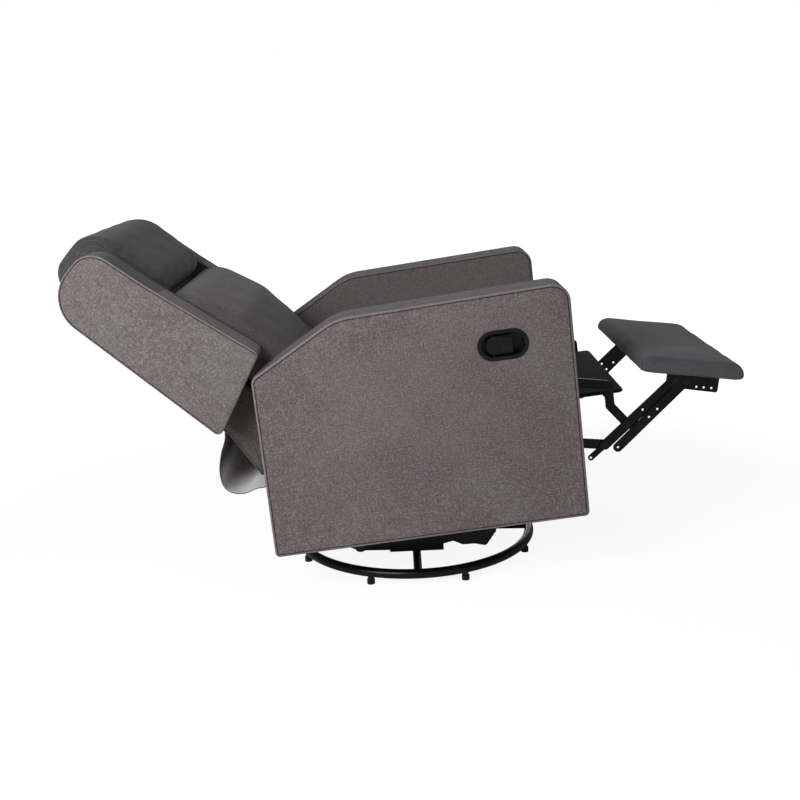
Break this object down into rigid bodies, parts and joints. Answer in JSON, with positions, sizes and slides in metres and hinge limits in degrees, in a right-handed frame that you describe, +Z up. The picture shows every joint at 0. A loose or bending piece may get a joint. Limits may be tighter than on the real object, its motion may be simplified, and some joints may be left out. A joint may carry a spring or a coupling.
{
  "type": "swivel glider recliner chair",
  "caption": "Upholstered swivel glider recliner on a round tube base, laid back with its footrest out; winged back, padded arms, side release lever.",
  "frame": {"origin": "on the floor on the swivel axis, at the centre of the circle of feet", "axes": "+X the chair's front, +Z up, -Y the sitter's right"},
  "size_m": [1.4704, 0.73, 0.7937],
  "materials": {
    "black_steel": "satin",
    "bright_steel": "satin",
    "black_plastic": "satin",
    "timber": "matte",
    "side_cloth": "matte",
    "dark_cloth": "matte"
  },
  "bodies": {
    "base": {"base_ring": "black_steel", "base_arms": "black_steel", "base_hub": "black_steel", "base_feet": "black_plastic", "king_pin": "bright_steel", "thrust_bearing": "black_plastic"},
    "carriage": {"swivel_plate": "black_steel", "glide_brackets": "black_steel", "glide_upper_pins": "bright_steel"},
    "rear_glide_links": {"glide_links_rear": "black_steel"},
    "front_glide_links": {"glide_links_front": "black_steel"},
    "body": {"glide_lower_pins": "bright_steel", "glide_hangers": "black_steel", "mount_angles": "black_steel", "body_rivets": "bright_steel", "cross_tubes": "black_steel", "base_rail": "timber", "seat_side_rails": "timber", "seat_end_rails": "timber", "seat_straps": "dark_cloth", "seat_cushion": "dark_cloth", "lever_cup": "black_plastic", "lever_pin": "bright_steel", "side_plate_right": "black_steel", "side_plate_left": "black_steel", "arm_outer_panel_right": "side_cloth", "arm_inner_panel_right": "dark_cloth", "arm_band_right": "dark_cloth", "arm_frame_right": "timber", "arm_outer_panel_left": "side_cloth", "arm_inner_panel_left": "dark_cloth", "arm_band_left": "dark_cloth", "arm_frame_left": "timber"},
    "release_lever": {"lever_paddle": "black_plastic"},
    "crank": {"footrest_cranks": "black_steel", "torque_tube": "black_steel", "crank_rivets": "bright_steel", "flap_board": "dark_cloth", "flap_brackets": "black_steel"},
    "rear_link_pair": {"rear_links": "black_steel"},
    "long_link_pair": {"long_links": "black_steel", "long_link_rivets": "bright_steel"},
    "short_link_pair": {"short_links": "black_steel"},
    "footrest": {"footrest_brackets": "black_steel", "footrest_rivets": "bright_steel", "footrest_deck": "dark_cloth", "footrest_cushion": "dark_cloth"},
    "back": {"back_rails": "timber", "back_arms": "black_steel", "back_board": "side_cloth", "back_foam": "dark_cloth", "lower_back": "dark_cloth", "lumbar_cushion": "dark_cloth", "head_pillow": "dark_cloth", "rear_skirt": "dark_cloth", "wing_right": "side_cloth", "wing_left": "side_cloth", "back_stile_right": "timber", "back_stile_left": "timber"}
  },
  "joints": [
    {"name": "swivel", "type": "hinge", "parent": "base", "child": "carriage", "pos_m": [0, 0, 0.07], "axis": [0, 0, 1], "continuous": true},
    {"name": "glide", "type": "hinge", "parent": "carriage", "child": "rear_glide_links", "pos_m": [-0.13212, 0, 0.19], "axis": [0, 1, 0], "range_deg": [0, 29]},
    {"name": "glide_hang", "type": "hinge", "parent": "rear_glide_links", "child": "body", "pos_m": [-0.12856, 0, 0.07005], "axis": [0, 1, 0], "range_deg": [-21.49, 0]},
    {"name": "glide_front", "type": "hinge", "parent": "carriage", "child": "front_glide_links", "pos_m": [0.09212, 0, 0.19], "axis": [0, 1, 0], "range_deg": [0, 31.44]},
    {"name": "recline", "type": "hinge", "parent": "body", "child": "back", "pos_m": [-0.07852, 0, 0.29383], "axis": [0, 1, 0], "range_deg": [0, 23.1]},
    {"name": "footrest_fold", "type": "hinge", "parent": "body", "child": "crank", "pos_m": [0.29041, 0, 0.4479], "axis": [0, 1, 0], "range_deg": [0, 86]},
    {"name": "rear_link_swing", "type": "hinge", "parent": "body", "child": "rear_link_pair", "pos_m": [0.23918, 0, 0.40398], "axis": [0, 1, 0], "range_deg": [0, 86]},
    {"name": "long_link_swing", "type": "hinge", "parent": "crank", "child": "long_link_pair", "pos_m": [0.47658, 0, 0.34025], "axis": [0, 1, 0], "range_deg": [-86, 0]},
    {"name": "short_link_swing", "type": "hinge", "parent": "crank", "child": "short_link_pair", "pos_m": [0.50037, 0, 0.33707], "axis": [0, 1, 0], "range_deg": [-86, 0]},
    {"name": "footrest_turn", "type": "hinge", "parent": "long_link_pair", "child": "footrest", "pos_m": [0.57533, 0, 0.43635], "axis": [0, 1, 0], "range_deg": [0, 86]},
    {"name": "lever_pull", "type": "hinge", "parent": "body", "child": "release_lever", "pos_m": [0.17259, -0.354, 0.5551], "axis": [0.0958, 0, -0.9954], "range_deg": [0, 25], "stiffness_Nm_per_rad": 0.3, "springref_deg": -11.46}
  ],
  "couplings": [
    {"joint": "glide_hang", "follows": "glide", "ratio": -0.73418},
    {"joint": "glide_front", "follows": "glide", "ratio": 1.0772},
    {"joint": "rear_link_swing", "follows": "footrest_fold", "ratio": 1},
    {"joint": "long_link_swing", "follows": "footrest_fold", "ratio": -1},
    {"joint": "short_link_swing", "follows": "footrest_fold", "ratio": -1},
    {"joint": "footrest_turn", "follows": "footrest_fold", "ratio": 1}
  ]
}
